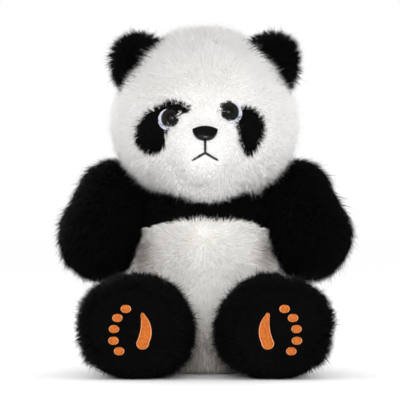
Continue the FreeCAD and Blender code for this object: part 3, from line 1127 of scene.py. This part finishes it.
def tube(shape, path, radius, closed=False, sides=6):
    """Adds a round thread along a list of points to a bmesh. An open thread narrows to its ends."""
    rings = []
    for index, point in enumerate(path):
        before = path[index - 1] if closed or index else path[0]
        after = path[(index + 1) % len(path)] if closed or index < len(path) - 1 else path[-1]
        along = (after - before).normalized()
        first = along.cross(Vector((0.1, 1, 0.05))).normalized()
        second = along.cross(first)
        girth = radius if closed or 0 < index < len(path) - 1 else radius * 0.6
        ring = []
        for turn in range(sides):
            angle = turn * math.tau / sides
            offset = math.cos(angle) * first + math.sin(angle) * second
            ring.append(shape.verts.new(point + girth * offset))
        rings.append(ring)
    pairs = list(zip(rings, rings[1:]))
    if closed:
        pairs.append((rings[-1], rings[0]))
    else:
        shape.faces.new(rings[0][::-1])
        shape.faces.new(rings[-1])
    for ring, following in pairs:
        for turn in range(sides):
            beside = (turn + 1) % sides
            shape.faces.new((ring[turn], ring[beside], following[beside], following[turn]))


def make_pads(side, sign):
    """Satin stitches across each pad of the sole, with a paler cord round its edge."""
    splay = LEG_SPLAY * sign
    across = np.array((math.cos(splay), math.sin(splay), 0.0))
    up = np.array((0.0, 0.0, 1.0))
    outwards = np.array((math.sin(splay), -math.cos(splay), 0.0))
    for node in (f"{side}_main_pad", f"{side}_toe_pads"):
        mesh_points = np.array([vertex.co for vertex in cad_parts[node].data.vertices])
        face = (mesh_points @ outwards).max() - 0.2 * MM
        stitches = bmesh.new()
        edges = bmesh.new()
        for rows in cross_rows(node, across, up):
            left = []
            right = []
            for number, (height, low, high) in enumerate(rows):
                stitch_row(stitches, across, up, outwards, face, height, low, high, number)
                left.append(Vector(across * (low + EDGE_INSET) + up * height + outwards * face))
                right.append(Vector(across * (high - EDGE_INSET) + up * height + outwards * face))
            tube(edges, rounded(left + right[::-1]), EDGE_RADIUS, closed=True)
        for shape, label, material in ((stitches, "stitches", PAD_THREAD), (edges, "edge", PAD_EDGE)):
            mesh = bpy.data.meshes.new(f"{node}_{label}")
            bmesh.ops.recalc_face_normals(shape, faces=shape.faces)
            shape.to_mesh(mesh)
            shape.free()
            mesh.shade_smooth()
            piece = make_object(f"{node}_{label}", mesh, material)
            stand_for(piece, f"{side}_leg", "pad_thread", *((node,) if label == "stitches" else ()))


def rounded(path):
    """A closed path with each point moved towards the middle of its neighbours."""
    count = len(path)
    return [(path[i - 1] + 2 * path[i] + path[(i + 1) % count]) / 4 for i in range(count)]


def stitch_row(shape, across, up, outwards, face, height, low, high, number):
    """One stitch that arches over the pad from edge to edge, laid a little higher or lower than the last."""
    lift = 0.12 * MM * (number % 2)
    slant = 0.35 * STITCH_PITCH * (-1) ** number
    path = []
    for step in range(5):
        share = step / 4
        arch = math.sin(math.pi * share) * min(0.7 * MM, 0.16 * (high - low))
        place = across * (low + share * (high - low)) + up * (height + slant * (share - 0.5))
        path.append(Vector(place + outwards * (face + arch + lift)))
    tube(shape, path, THREAD_RADIUS, sides=5)


# ---- stage -------------------------------------------------------------------


VIEW_WIDTH = 0.325  # seen across the picture at the toy's middle
CAMERA_PLACE = (-0.004, -2.0, 0.1386)
LIGHT_TARGET = Vector((0, 0, 0.16))


def make_camera():
    """Nearly level, from far enough away that the feet hardly grow."""
    camera = bpy.data.cameras.new("camera")
    camera.lens = camera.sensor_width * -CAMERA_PLACE[1] / VIEW_WIDTH
    holder = bpy.data.objects.new("camera", camera)
    holder.location = CAMERA_PLACE
    holder.rotation_euler = (math.pi / 2, 0, 0)
    bpy.context.scene.collection.objects.link(holder)
    bpy.context.scene.camera = holder


def make_light(name, place, size, power):
    lamp = bpy.data.lights.new(name, "AREA")
    lamp.size = size
    lamp.energy = power
    holder = bpy.data.objects.new(name, lamp)
    holder.location = place
    aim = LIGHT_TARGET - Vector(place)
    holder.rotation_euler = aim.to_track_quat("-Z", "Y").to_euler()
    bpy.context.scene.collection.objects.link(holder)


FLOOR = noisy_material(
    "pale_floor",
    (0.985, 0.985, 0.985),
    (0.995, 0.995, 0.995),
    scale=3,
    roughness=0.95,
    specular=0.0,
)


def make_stage():
    """A white studio: even light all round, soft lights before and behind, and a small one for the eyes."""
    bpy.context.scene.view_settings.view_transform = "Standard"
    world = bpy.data.worlds.new("studio")
    world.use_nodes = True
    world.node_tree.nodes["Background"].inputs["Color"].default_value = (1, 1, 1, 1)
    world.node_tree.nodes["Background"].inputs["Strength"].default_value = 1.0
    bpy.context.scene.world = world
    make_light("front", (-0.4, -1.7, 0.45), size=0.7, power=6)
    make_light("low_fill", (0.2, -1.5, 0.08), size=0.8, power=7)
    make_light("eye_light", (0.05, -1.5, 0.3), size=0.2, power=7)
    for name, sign in SIDES:
        make_light(f"{name}_rim", (sign * 1.2, 1.0, 0.35), size=1.0, power=8)
    bpy.ops.mesh.primitive_plane_add(size=12, location=(0, 0, 0))
    floor = bpy.context.object
    floor.name = "floor"
    floor.data.materials.append(FLOOR)


make_camera()
make_stage()
make_head()
make_torso()
for side_name, side_sign in SIDES:
    make_arm(side_name, side_sign)
    make_leg(side_name, side_sign)
